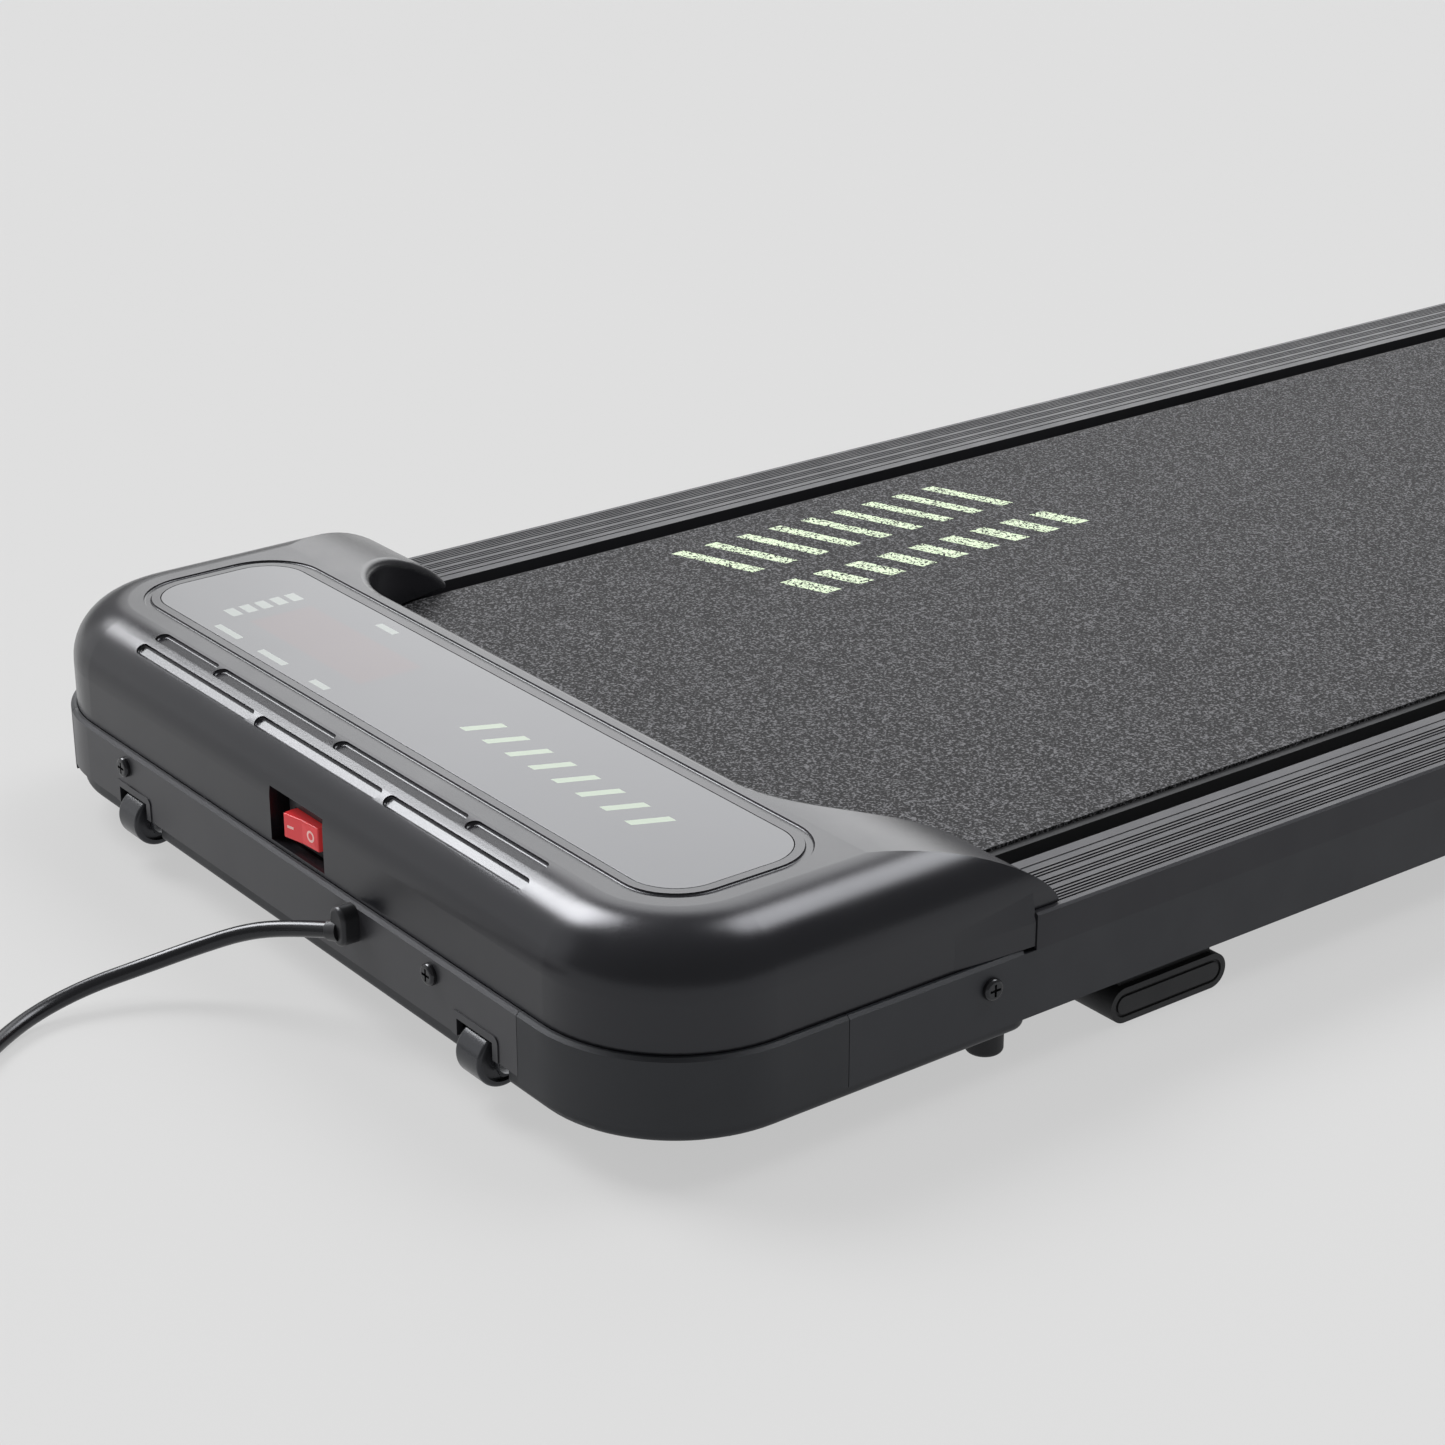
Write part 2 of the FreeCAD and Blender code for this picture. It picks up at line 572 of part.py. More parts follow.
# ---------------------------------------------------------------- head: cover and display
def cover_body(inset, bottom):
    """Outer form of the cover, or the hollow inside it when inset by the wall thickness."""
    top = HEAD_TOP - inset
    half_width = COVER_HALF_WIDTH - inset
    front = COVER_FRONT + inset
    tip = WING_TIP - inset
    block = lifted(rounded_plan(half_width, front, tip + 5, COVER_CORNER - inset), bottom, top)
    shoulder = [edge for edge in block.Edges
                if abs(edge.CenterOfMass.z - top) < 0.01 and edge.CenterOfMass.y < tip + 4]
    block = block.makeFillet(COVER_SHOULDER - inset, shoulder)
    hollow = wing_hollow(inset)
    body = block.common(wing_profile(inset, bottom)).cut(hollow)
    if inset > 0:
        return body
    crest = [edge for edge in body.Edges if follows_crest(edge, hollow)]
    return body.makeFillet(CREST_RADIUS, crest)


def follows_crest(edge, hollow):
    """Whether an edge runs along the top of the hollow between the wings, short of the tips."""
    places = [edge.valueAt(edge.FirstParameter + (edge.LastParameter - edge.FirstParameter) * part)
              for part in (0.1, 0.5, 0.9)]
    on_hollow = all(hollow.Shells[0].distToShape(Part.Vertex(place))[0] < 0.01 for place in places)
    return on_hollow and min(place.z for place in places) > WING_TIP_HEIGHT + 1 and edge.Length > 3


def wing_slope(inset):
    """Curve that falls from the flat top to the wing tips, soft at first and upright at the tip."""
    length = WING_TIP - inset - WING_START
    height = HEAD_TOP - inset - WING_TIP_HEIGHT
    points = []
    for step in range(13):
        angle = math.radians(7.5 * step)
        points.append(on_side(WING_START + length * math.sin(angle),
                              WING_TIP_HEIGHT + height * math.cos(angle) ** 1.5))
    points[-1] = on_side(WING_START + length, WING_TIP_HEIGHT)
    curve = Part.BSplineCurve()
    curve.interpolate(points)
    return curve.toShape()


def wing_profile(inset, bottom):
    """Side view of the cover, swept across: flat on top, then down along the wing slope."""
    top = HEAD_TOP - inset
    tip = WING_TIP - inset
    side_end = COVER_SIDE_END if inset == 0 else tip
    under = RAIL_TOP + 0.3 if inset == 0 else bottom
    points = [on_side(WING_START, top), on_side(-600, top), on_side(-600, bottom),
              on_side(side_end, bottom)]
    if inset == 0:
        points += [on_side(side_end, under), on_side(tip, under)]
    points.append(on_side(tip, WING_TIP_HEIGHT))
    edges = [Part.LineSegment(a, b).toShape() for a, b in zip(points, points[1:])]
    face = Part.Face(Part.Wire(Part.__sortEdges__(edges + [wing_slope(inset)])))
    return face.translated(V(-260, 0, 0)).extrude(V(520, 0, 0))


def wing_hollow(inset):
    """Space between the wings, behind the straight rear edge; its sides flare towards the tips."""
    half = WING_INNER_X + inset
    radius = WING_HOLLOW_RADIUS + inset
    front = COVER_REAR - inset
    rear = -300
    wide = half + (rear - front) * WING_FLARE
    corners = [(-half, front), (half, front), (wide, rear), (-wide, rear)]
    return lifted(rounded_face(corners, [radius, radius, 0, 0], on_floor), 0, 200)


def lens_outline(growth):
    """Rounded outline of the display lens, grown by a clearance or an overlap."""
    corner = LENS_CORNER + growth
    corners = [(-LENS_HALF_WIDTH - growth, LENS_FRONT - growth), (LENS_HALF_WIDTH + growth, LENS_FRONT - growth),
               (LENS_HALF_WIDTH + growth, LENS_REAR + growth), (-LENS_HALF_WIDTH - growth, LENS_REAR + growth)]
    return rounded_face(corners, [corner] * 4, on_floor)


# Air grooves pressed into the front shoulder: (angle round the shoulder, (start, end) in X)
UPPER_GROOVES = ((-153, -101.7), (-100, -2), (1.8, 99.2), (102, 155.5))
LOWER_GROOVES = ((-155, -53), (-49, 51), (55, 157))
UPPER_GROOVE_ANGLE = 79.0
LOWER_GROOVE_ANGLE = 57.0
UPPER_GROOVE_RADIUS = 3.5
LOWER_GROOVE_RADIUS = 3.0


def air_groove(span, angle, radius):
    """Cutter for one groove: a slot with round ends, square to the shoulder at its angle."""
    face = stadium((span[0] + radius, 0), (span[1] - radius, 0), radius, on_floor)
    cutter = face.translated(V(0, 0, -1.8)).extrude(V(0, 0, 6))
    cutter = cutter.makeFillet(1.4, [edge for edge in cutter.Edges if edge.CenterOfMass.z < -1.79])
    cutter.rotate(V(0, 0, 0), V(1, 0, 0), 90 - angle)
    lean = math.radians(angle)
    cutter.translate(V(0, COVER_FRONT + COVER_SHOULDER - COVER_SHOULDER * math.cos(lean),
                       HEAD_TOP - COVER_SHOULDER + COVER_SHOULDER * math.sin(lean)))
    return cutter


def side_flare():
    """Right-hand swelling of the cover's side wall that brings its end flush with the foot rail."""
    sections = []
    for y, face, top in ((-432.0, COVER_HALF_WIDTH + 0.02, 70.0), (COVER_SIDE_END, HALF_WIDTH - 0.6, 76.0)):
        inner = COVER_HALF_WIDTH - 1.0
        corners = [(inner, LIP_TOP + 0.3), (face, LIP_TOP + 0.3), (face, 64.0),
                   (COVER_HALF_WIDTH + 0.01, top), (inner, top)]
        points = [V(x, y, z) for x, z in corners]
        sections.append(Part.makePolygon(points + points[:1]))
    return Part.makeLoft(sections, True, True)


def head_cover():
    """Moulded cover with wings over the foot rails, a lens opening and a pocket for the switch."""
    cover = cover_body(0.0, FRAME_TOP).cut(cover_body(COVER_WALL, 40.0))
    over_belt = box((-RAIL_INNER_X, RAIL_INNER_X), (-490, -300), (40, 70))
    low_inside = box((-240, 240), (-500, COVER_SIDE_END), (FRAME_TOP, 54))
    cover = cover.cut(over_belt).cut(low_inside)
    ledge_low = HEAD_TOP - LENS_THICKNESS - 2.5
    ledge = lifted(lens_outline(3), ledge_low, HEAD_TOP - LENS_THICKNESS)
    ledge = ledge.cut(lifted(lens_outline(-6), 0, 200))
    cover = union([cover, ledge]).cut(lifted(lens_outline(0.4), HEAD_TOP - LENS_THICKNESS, 200))
    near, far = TRIM_GROOVE
    groove_low = HEAD_TOP - 1.0
    groove_ring = lifted(lens_outline(far), groove_low, 110).cut(lifted(lens_outline(near), 0, 210))
    groove_ring = groove_ring.makeFillet(0.9, [edge for edge in groove_ring.Edges
                                               if abs(edge.CenterOfMass.z - groove_low) < 0.01])
    cover = union([cover] + both_sides(side_flare())).cut(groove_ring)
    pocket = box((POCKET_X[0] - 2, POCKET_X[1] + 2), (-581, RECESS_FLOOR_Y + 2),
                 (POCKET_Z[0] - 2, POCKET_Z[1] + 2))
    cover = union([cover, pocket]).cut(box(POCKET_X, (-600, RECESS_FLOOR_Y), POCKET_Z))
    cover = cover.cut(box((SWITCH_X - 15, SWITCH_X + 15), (-600, -560), (SWITCH_Z - 8, SWITCH_Z + 8)))
    for span in UPPER_GROOVES:
        cover = cover.cut(air_groove(span, UPPER_GROOVE_ANGLE, UPPER_GROOVE_RADIUS))
    for span in LOWER_GROOVES:
        cover = cover.cut(air_groove(span, LOWER_GROOVE_ANGLE, LOWER_GROOVE_RADIUS))
    return cover


def display_lens():
    """Smoked window over the display, flush with the cover."""
    return lifted(lens_outline(0), HEAD_TOP - LENS_THICKNESS, HEAD_TOP)


def display_board():
    """Circuit board under the lens with its block of digits and four touch pads."""
    board = box((-150, -40), (-535, -478), (94.4, 96.0))
    digits = box((-142, -46.5), (-520, -488), (96.0, 99.0))
    return union([board, digits])


# ---------------------------------------------------------------- switch, gland and wheels
def power_switch():
    """Switch body behind the pocket, with its bezel and the well that the rocker tips in."""
    bezel = box((SWITCH_X - 17, SWITCH_X + 17), (RECESS_FLOOR_Y - 4, RECESS_FLOOR_Y),
                (SWITCH_Z - 10, SWITCH_Z + 10))
    body = box((SWITCH_X - 15, SWITCH_X + 15), (RECESS_FLOOR_Y, -552), (SWITCH_Z - 8, SWITCH_Z + 8))
    terminals = [box((SWITCH_X + x, SWITCH_X + x + 1), (-552, -545), (SWITCH_Z - 3, SWITCH_Z + 3))
                 for x in (-11, -0.5, 10)]
    well = box((SWITCH_X - 12.4, SWITCH_X + 12.4), (-580, -564), (SWITCH_Z - 5.8, SWITCH_Z + 5.8))
    return union([bezel, body] + terminals).cut(well)


def switch_rocker():
    """Rocker: a disc about its pivot, cut to two shallow faces in front, and tipped to off."""
    low = SWITCH_Z - ROCKER_HEIGHT / 2
    disc = rod(ROCKER_RADIUS, (SWITCH_X, ROCKER_PIVOT_Y, low),
               (SWITCH_X, ROCKER_PIVOT_Y, low + ROCKER_HEIGHT))
    corners = [(-16, -4.0), (0, -2.9), (16, -4.0), (16, 10), (-16, 10)]
    blade = rounded_face(corners, [0] * 5, on_floor)
    blade = blade.translated(V(SWITCH_X, ROCKER_PIVOT_Y, low)).extrude(V(0, 0, ROCKER_HEIGHT))
    rocker = disc.common(blade)
    rocker.rotate(V(SWITCH_X, ROCKER_PIVOT_Y, 0), V(0, 0, 1), ROCKER_TILT)
    return rocker


def strain_relief():
    """Upright oval gland in the front beam, with a nose that turns the lead to the left."""
    face = stadium((GLAND_X, GLAND_Z - 3.25), (GLAND_X, GLAND_Z + 3.25), 5.5, on_end)
    flange = face.translated(V(0, SHELL_FRONT, 0)).extrude(V(0, GLAND_FACE - SHELL_FRONT, 0))
    rim = [edge for edge in flange.Edges if abs(edge.CenterOfMass.y - GLAND_FACE) < 0.01]
    flange = flange.makeFillet(1.8, rim)
    neck = rod(4.5, (GLAND_X, SHELL_FRONT - 1, GLAND_Z), (GLAND_X, -576, GLAND_Z))
    collar = rod(5.6, (GLAND_X, SHELL_FRONT + SHELL_WALL, GLAND_Z), (GLAND_X, -579, GLAND_Z))
    exit_point = V(*CORD_ROUTE[0])
    backwards = (exit_point - V(*CORD_ROUTE[1])).normalize()
    root = exit_point + backwards * 6
    nose = Part.makeCone(5.0, 4.4, 6, root, backwards * -1)
    return union([flange, neck, collar, nose])


def transport_wheel(x):
    """Moulded wheel with softened tread edges and a plain bore."""
    wheel = rod(WHEEL_RADIUS, (x - WHEEL_HALF_WIDTH, WHEEL_Y, WHEEL_Z),
                (x + WHEEL_HALF_WIDTH, WHEEL_Y, WHEEL_Z))
    rims = [edge for edge in wheel.Edges if edge.Closed]
    wheel = wheel.makeFillet(1.5, rims)
    for side in (-1, 1):
        face = x + side * WHEEL_HALF_WIDTH
        wheel = wheel.cut(ring(9.5, 5, (face - side * 2, WHEEL_Y, WHEEL_Z), (face + side, WHEEL_Y, WHEEL_Z)))
    bore = WHEEL_AXLE_RADIUS + BEARING_GAP
    return wheel.cut(rod(bore, (x - 20, WHEEL_Y, WHEEL_Z), (x + 20, WHEEL_Y, WHEEL_Z)))


def wheel_bracket(x):
    """Folded bracket behind the front beam, with an ear on each side of the wheel."""
    back = SHELL_FRONT + SHELL_WALL
    profile = [(back, 39), (back, 20), (WHEEL_Y - 3, 15.5), (WHEEL_Y + 3, 15.5), (-568, 20), (-568, 39)]
    ears = []
    for start in (x - 11, x + 9.2):
        ear = rounded_face(profile, [0, 1, 2, 2, 2, 2], on_side)
        ears.append(ear.translated(V(start, 0, 0)).extrude(V(1.8, 0, 0)))
    bridge = box((x - 11, x + 11), (back, -570), (37.2, 39))
    hole = rod(WHEEL_AXLE_RADIUS, (x - 20, WHEEL_Y, WHEEL_Z), (x + 20, WHEEL_Y, WHEEL_Z))
    return union(ears + [bridge]).cut(hole)


def wheel_axle(x):
    """Headed pin through the bracket's ears."""
    pin = rod(WHEEL_AXLE_RADIUS, (x - 12.2, WHEEL_Y, WHEEL_Z), (x + 12.2, WHEEL_Y, WHEEL_Z))
    heads = [rod(4.5, (x + side * 11, WHEEL_Y, WHEEL_Z), (x + side * 12.2, WHEEL_Y, WHEEL_Z))
             for side in (-1, 1)]
    return union([pin] + heads)


# ---------------------------------------------------------------- feet
def rubber_foot(y):
    """Right-hand rubber foot: a long oval block under the side frame with a ring on its end face."""
    block = stadium((y - 25, 8), (y + 25, 8), 8, on_side)
    block = block.translated(V(206, 0, 0)).extrude(V(40, 0, 0))
    neck = box((213, 243), (y - 26, y + 26), (12, FRAME_BOTTOM))
    grow = stadium((y - 25, 8), (y + 25, 8), 5.4, on_side)
    shrink = stadium((y - 25, 8), (y + 25, 8), 4.0, on_side)
    groove = grow.cut(shrink).translated(V(245, 0, 0)).extrude(V(2, 0, 0))
    return union([block, neck]).cut(groove)


def tray_foot():
    """Right-hand round foot under the rear of the tray."""
    foot = rod(8, (228, -398, 0), (228, -398, TRAY_BOTTOM))
    rim = [edge for edge in foot.Edges if edge.Closed and edge.CenterOfMass.z < 0.01]
    return foot.makeFillet(2.0, rim)


# ---------------------------------------------------------------- motor and drive
def motor_housing():
    """Motor can with its two end plates, bored for the bearings."""
    can = ring(MOTOR_RADIUS, 31, (MOTOR_LEFT, MOTOR_Y, MOTOR_Z), (MOTOR_RIGHT, MOTOR_Y, MOTOR_Z))
    ends = [ring(31, 11, (x, MOTOR_Y, MOTOR_Z), (x + 6, MOTOR_Y, MOTOR_Z))
            for x in (MOTOR_LEFT, MOTOR_RIGHT - 6)]
    return union([can] + ends)


def motor_bearings():
    """Ball bearings in the motor's end plates."""
    return [ring(11, 5 + BEARING_GAP, (x, MOTOR_Y, MOTOR_Z), (x + 6, MOTOR_Y, MOTOR_Z))
            for x in (MOTOR_LEFT, MOTOR_RIGHT - 6)]


def motor_shaft():
    """Motor shaft from the pulley to the flywheel."""
    return rod(5, (PULLEY_LEFT, MOTOR_Y, MOTOR_Z), (-20, MOTOR_Y, MOTOR_Z))


def motor_armature():
    """Slotted armature and commutator on the motor shaft."""
    core = ring(26, 5, (-160, MOTOR_Y, MOTOR_Z), (-85, MOTOR_Y, MOTOR_Z))
    commutator = ring(13, 5, (-85, MOTOR_Y, MOTOR_Z), (-68, MOTOR_Y, MOTOR_Z))
    armature = union([core, commutator])
    tooth_gap = box((-161, -84), (MOTOR_Y - 1.5, MOTOR_Y + 1.5), (MOTOR_Z + 18, MOTOR_Z + 30))
    for step in range(8):
        gap = tooth_gap.copy()
        gap.rotate(V(0, MOTOR_Y, MOTOR_Z), V(1, 0, 0), 45 * step)
        armature = armature.cut(gap)
    return armature


def motor_flywheel():
    """Cast flywheel with cooling holes on the free end of the motor shaft."""
    wheel = ring(30, 5, (-36, MOTOR_Y, MOTOR_Z), (-24, MOTOR_Y, MOTOR_Z))
    for step in range(6):
        angle = math.radians(60 * step)
        y = MOTOR_Y + 18 * math.cos(angle)
        z = MOTOR_Z + 18 * math.sin(angle)
        wheel = wheel.cut(rod(5, (-40, y, z), (-20, y, z)))
    return wheel


def motor_brackets():
    """Two upright plates with outward feet that hold the motor on the chassis plate."""
    brackets = []
    for plate_x, foot_x in ((MOTOR_LEFT - 3, MOTOR_LEFT - 15), (MOTOR_RIGHT, MOTOR_RIGHT + 3)):
        corners = [(-566, FRAME_BOTTOM), (-507, FRAME_BOTTOM), (-507, 84), (-566, 84)]
        upright = rounded_face(corners, [0, 0, 20, 20], on_side)
        upright = upright.translated(V(plate_x, 0, 0)).extrude(V(3, 0, 0))
        foot = box((foot_x, foot_x + 12), (-560, -512), (FRAME_BOTTOM, FRAME_BOTTOM + 3))
        hole = rod(11, (plate_x - 1, MOTOR_Y, MOTOR_Z), (plate_x + 4, MOTOR_Y, MOTOR_Z))
        brackets.append(union([upright, foot]).cut(hole))
    return brackets


def drive_belt():
    """Ribbed belt from the motor pulley to the pulley on the front roller."""
    return belt_loop((MOTOR_Y, MOTOR_Z), MOTOR_PULLEY_RADIUS + RUNNING_GAP,
                     (FRONT_ROLLER_Y, ROLLER_Z), ROLLER_PULLEY_RADIUS + RUNNING_GAP,
                     1.6, (PULLEY_LEFT + 1.3, PULLEY_RIGHT - 1.3))


def speed_sensor():
    """Small pick-up on a stalk, facing the rim of the flywheel."""
    return box((-34, -26), (-512, -502), (FRAME_BOTTOM, 36))


# ---------------------------------------------------------------- electronics
BOARD_X = (60.0, 200.0)
BOARD_Y = (-548.0, -500.0)
BOARD_Z = 30.0


def control_board():
    """Motor control board on four pillars."""
    board = box(BOARD_X, BOARD_Y, (BOARD_Z, BOARD_Z + 1.6))
    pillars = [rod(3, (x, y, FRAME_BOTTOM), (x, y, BOARD_Z))
               for x in (BOARD_X[0] + 6, BOARD_X[1] - 6) for y in (BOARD_Y[0] + 6, BOARD_Y[1] - 6)]
    return union([board] + pillars)


def board_components():
    """Capacitors, transformer, relay and terminal block on the control board."""
    top = BOARD_Z + 1.6
    capacitors = [rod(8, (x, -516, top), (x, -516, top + 30)) for x in (80, 100)]
    transformer = box((112, 138), (-540, -508), (top, top + 24))
    relay = box((90, 106), (-542, -528), (top, top + 16))
    terminals = box((62, 70), (-544, -506), (top, top + 9))
    return capacitors + [transformer, relay, terminals]


def heatsink():
    """Finned block that cools the motor drive."""
    top = BOARD_Z + 1.6
    base = box((146, 196), (-543, -505), (top, top + 4))
    fins = [box((146 + step * 8, 148 + step * 8), (-543, -505), (top + 4, top + 26)) for step in range(7)]
    return union([base] + fins)


MAINS_WIRE = [(GLAND_X, -576, GLAND_Z), (GLAND_X, -562, GLAND_Z), (44, -546, 46), (34, -532, 58),
              (21, -526, 66), (15, -533, 67.5), (15, -545, 67.5)]
MOTOR_WIRE = [(62, -536, 36), (48, -536, 36), (26, -552, 34), (-4, -569, 34), (-28, -573, 34),
              (-42, -567, 37), (-46, -560, 40), (-50, -560, 40)]
DISPLAY_WIRE = [(-45, -500, 94.4), (-45, -500, 87), (-34, -499, 81), (-6, -499, 84), (24, -500, 80),
                (50, -503, 66), (66, -512, 52), (66, -512, 40.6)]


def wiring_harness():
    """Leads inside the head: gland to switch, board to motor, and display to board."""
    return [cord_tube("mains wire", MAINS_WIRE, 2.5), cord_tube("motor wire", MOTOR_WIRE, 1.5),
            cord_tube("display wire", DISPLAY_WIRE, 1.2)]


# ---------------------------------------------------------------- mains lead
def cord_coil():
    """Outer shape of the neat coil that holds the rest of the lead."""
    x, y = COIL_CENTRE
    return ring(COIL_OUTER, COIL_INNER, (x, y, 0), (x, y, COIL_HEIGHT))


def plug_body():
    """Moulded three-pin plug lying on its back, with a tapered sleeve round the lead."""
    x = TAIL_ROUTE[-1][0]
    corners = [(x - 25, PLUG_Y + 17), (x - 25, PLUG_Y - 24), (x + 25, PLUG_Y - 24), (x + 25, PLUG_Y + 17)]
    body = lifted(rounded_face(corners, [10, 16, 16, 10], on_floor), 0, 20)
    rims = [edge for edge in body.Edges if abs(edge.CenterOfMass.z - 10) > 9.9]
    body = body.makeFillet(2.0, rims)
    sleeve = Part.makeCone(7.0, 4.6, 12.5, V(x, PLUG_Y + 16.5, 9.5), V(0, 1, 0))
    return union([body, sleeve])


def plug_pins():
    """Three rectangular pins; the earth pin is the longer one."""
    x = TAIL_ROUTE[-1][0]
    live = box((x - 14.3, x - 8.0), (PLUG_Y - 1, PLUG_Y + 3), (20, 37.7))
    neutral = box((x + 8.0, x + 14.3), (PLUG_Y - 1, PLUG_Y + 3), (20, 37.7))
    earth = box((x - 2, x + 2), (PLUG_Y - 20, PLUG_Y - 12), (20, 42.7))
    return [live, neutral, earth]


# ---------------------------------------------------------------- writing the nodes
def write_structure():
    """Frame, rails, deck and belt."""
    for name, shape in (("side_frame", side_frame()), ("foot_rail", foot_rail()), ("rear_cap", rear_cap())):
        write(name + "_right", shape)
        write(name + "_left", mirrored(shape))
    write("cross_members", [cross_member(y) for y in CROSS_MEMBER_Y])
    cushions, screws = deck_mounting()
    write("deck", deck())
    write("deck_cushions", cushions)
    write("deck_screws", screws)
    write("walking_belt", walking_belt())


def write_rollers():
    """Both rollers with what carries them."""
    write("front_roller", roller_tube(FRONT_ROLLER_Y, PULLEY_RIGHT, 200))
    write("front_roller_bearings", roller_bearings(FRONT_ROLLER_Y, PULLEY_RIGHT, 200))
    write("front_roller_pulley",
          flanged_pulley(FRONT_ROLLER_Y, ROLLER_Z, ROLLER_PULLEY_RADIUS, SHAFT_RADIUS + BEARING_GAP))
    write("front_roller_shaft", rod(SHAFT_RADIUS, (-RAIL_INNER_X, FRONT_ROLLER_Y, ROLLER_Z),
                                    (RAIL_INNER_X, FRONT_ROLLER_Y, ROLLER_Z)))
    write("front_roller_brackets", both_sides(front_roller_bracket()))
    write("rear_roller", roller_tube(REAR_ROLLER_Y, -200, 200))
    write("rear_roller_bearings", roller_bearings(REAR_ROLLER_Y, -200, 200))
    write("rear_axle", rear_axle())
    write("rear_brackets", both_sides(rear_bracket()))
    write("rear_adjuster_right", adjuster_bolt())
    write("rear_adjuster_left", mirrored(adjuster_bolt()))


def write_head():
    """Lower shell, tray, cover, display, switch, gland, wheels and feet."""
    whole = shell_ring()
    write("corner_shell_right", corner_shell_right(whole))
    write("corner_shell_left", corner_shell_left(whole))
    write("front_beam", front_beam(whole))
    write("chassis_plate", chassis_plate())
    write("base_tray", base_tray())
    write("housing_screws", housing_screws())
    write("tray_screws", tray_screws())
    write("head_cover", head_cover())
    write("display_lens", display_lens())
    write("display_board", display_board())
    write("power_switch", power_switch())
    write("switch_rocker", switch_rocker())
    write("strain_relief", strain_relief())
    for side, x in (("left", -WHEEL_X), ("right", WHEEL_X)):
        write("transport_wheel_" + side, transport_wheel(x))
    write("wheel_brackets", [wheel_bracket(-WHEEL_X), wheel_bracket(WHEEL_X)])
    write("wheel_axles", [wheel_axle(-WHEEL_X), wheel_axle(WHEEL_X)])
    write("rubber_feet", both_sides(rubber_foot(-311.8)) + both_sides(rubber_foot(475.0)))
    write("tray_feet", both_sides(tray_foot()))


def write_drive():
    """Motor, drive belt and electronics."""
    write("motor_housing", motor_housing())
    write("motor_bearings", motor_bearings())
    write("motor_shaft", motor_shaft())
    write("motor_armature", motor_armature())
    write("motor_pulley", flanged_pulley(MOTOR_Y, MOTOR_Z, MOTOR_PULLEY_RADIUS, 5))
    write("motor_flywheel", motor_flywheel())
    write("motor_brackets", motor_brackets())
    write("drive_belt", drive_belt())
    write("speed_sensor", speed_sensor())
    write("control_board", control_board())
    write("board_components", board_components())
    write("heatsink", heatsink())
    write("wiring_harness", wiring_harness())


def write_lead():
    """Mains lead, its coil and its plug."""
    write("power_cord", cord_tube("power cord", CORD_ROUTE, CORD_DIAMETER / 2))
    write("power_cord_tail", cord_tube("power cord tail", TAIL_ROUTE, CORD_DIAMETER / 2))
    write("power_cord_coil", cord_coil())
    write("plug_body", plug_body())
    write("plug_pins", plug_pins())


write_structure()
write_rollers()
write_head()
write_drive()
write_lead()
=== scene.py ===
"""Looks of the under-desk treadmill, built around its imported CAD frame.

Metres, in the frame of the CAD: +X to the right-hand rail, +Y towards the rear roller, +Z up.
"""
import json
import math

import bpy
from mathutils import Matrix, Vector


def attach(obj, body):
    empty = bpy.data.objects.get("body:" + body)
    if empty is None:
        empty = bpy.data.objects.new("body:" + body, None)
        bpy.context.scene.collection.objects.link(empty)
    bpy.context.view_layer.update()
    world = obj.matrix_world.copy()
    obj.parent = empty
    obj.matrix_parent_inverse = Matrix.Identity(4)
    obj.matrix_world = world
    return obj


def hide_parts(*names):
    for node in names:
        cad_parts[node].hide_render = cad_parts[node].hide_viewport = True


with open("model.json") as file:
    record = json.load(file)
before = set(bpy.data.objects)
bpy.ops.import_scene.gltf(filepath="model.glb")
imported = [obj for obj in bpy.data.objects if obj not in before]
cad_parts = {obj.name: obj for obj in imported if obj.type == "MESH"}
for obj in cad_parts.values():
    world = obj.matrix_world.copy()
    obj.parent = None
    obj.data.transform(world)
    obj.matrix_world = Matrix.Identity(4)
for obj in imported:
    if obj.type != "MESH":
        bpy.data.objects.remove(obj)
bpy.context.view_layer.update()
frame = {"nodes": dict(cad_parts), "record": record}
MM = 0.001


# ---------------------------------------------------------------- camera
CAMERA_PLACE = (1.0799, -1.1775, 0.6306)
CAMERA_TURN = 52.786             # degrees to the left of looking along +Y
CAMERA_DOWN = 22.925             # degrees below the horizon
CAMERA_ROLL = -0.1556
CAMERA_LENS = 80.17              # millimetres, on a sensor 36 wide


def add_camera():
    """A long lens in front of the right-hand corner, looking down along the deck."""
    data = bpy.data.cameras.new("camera")
    data.lens = CAMERA_LENS
    data.sensor_width = 36.0
    data.clip_end = 50.0
    camera = bpy.data.objects.new("camera", data)
    bpy.context.scene.collection.objects.link(camera)
    turn = (Matrix.Rotation(math.radians(CAMERA_TURN), 4, "Z")
            @ Matrix.Rotation(math.radians(90 - CAMERA_DOWN), 4, "X")
            @ Matrix.Rotation(math.radians(CAMERA_ROLL), 4, "Z"))
    camera.matrix_world = Matrix.Translation(CAMERA_PLACE) @ turn
    bpy.context.scene.camera = camera


add_camera()


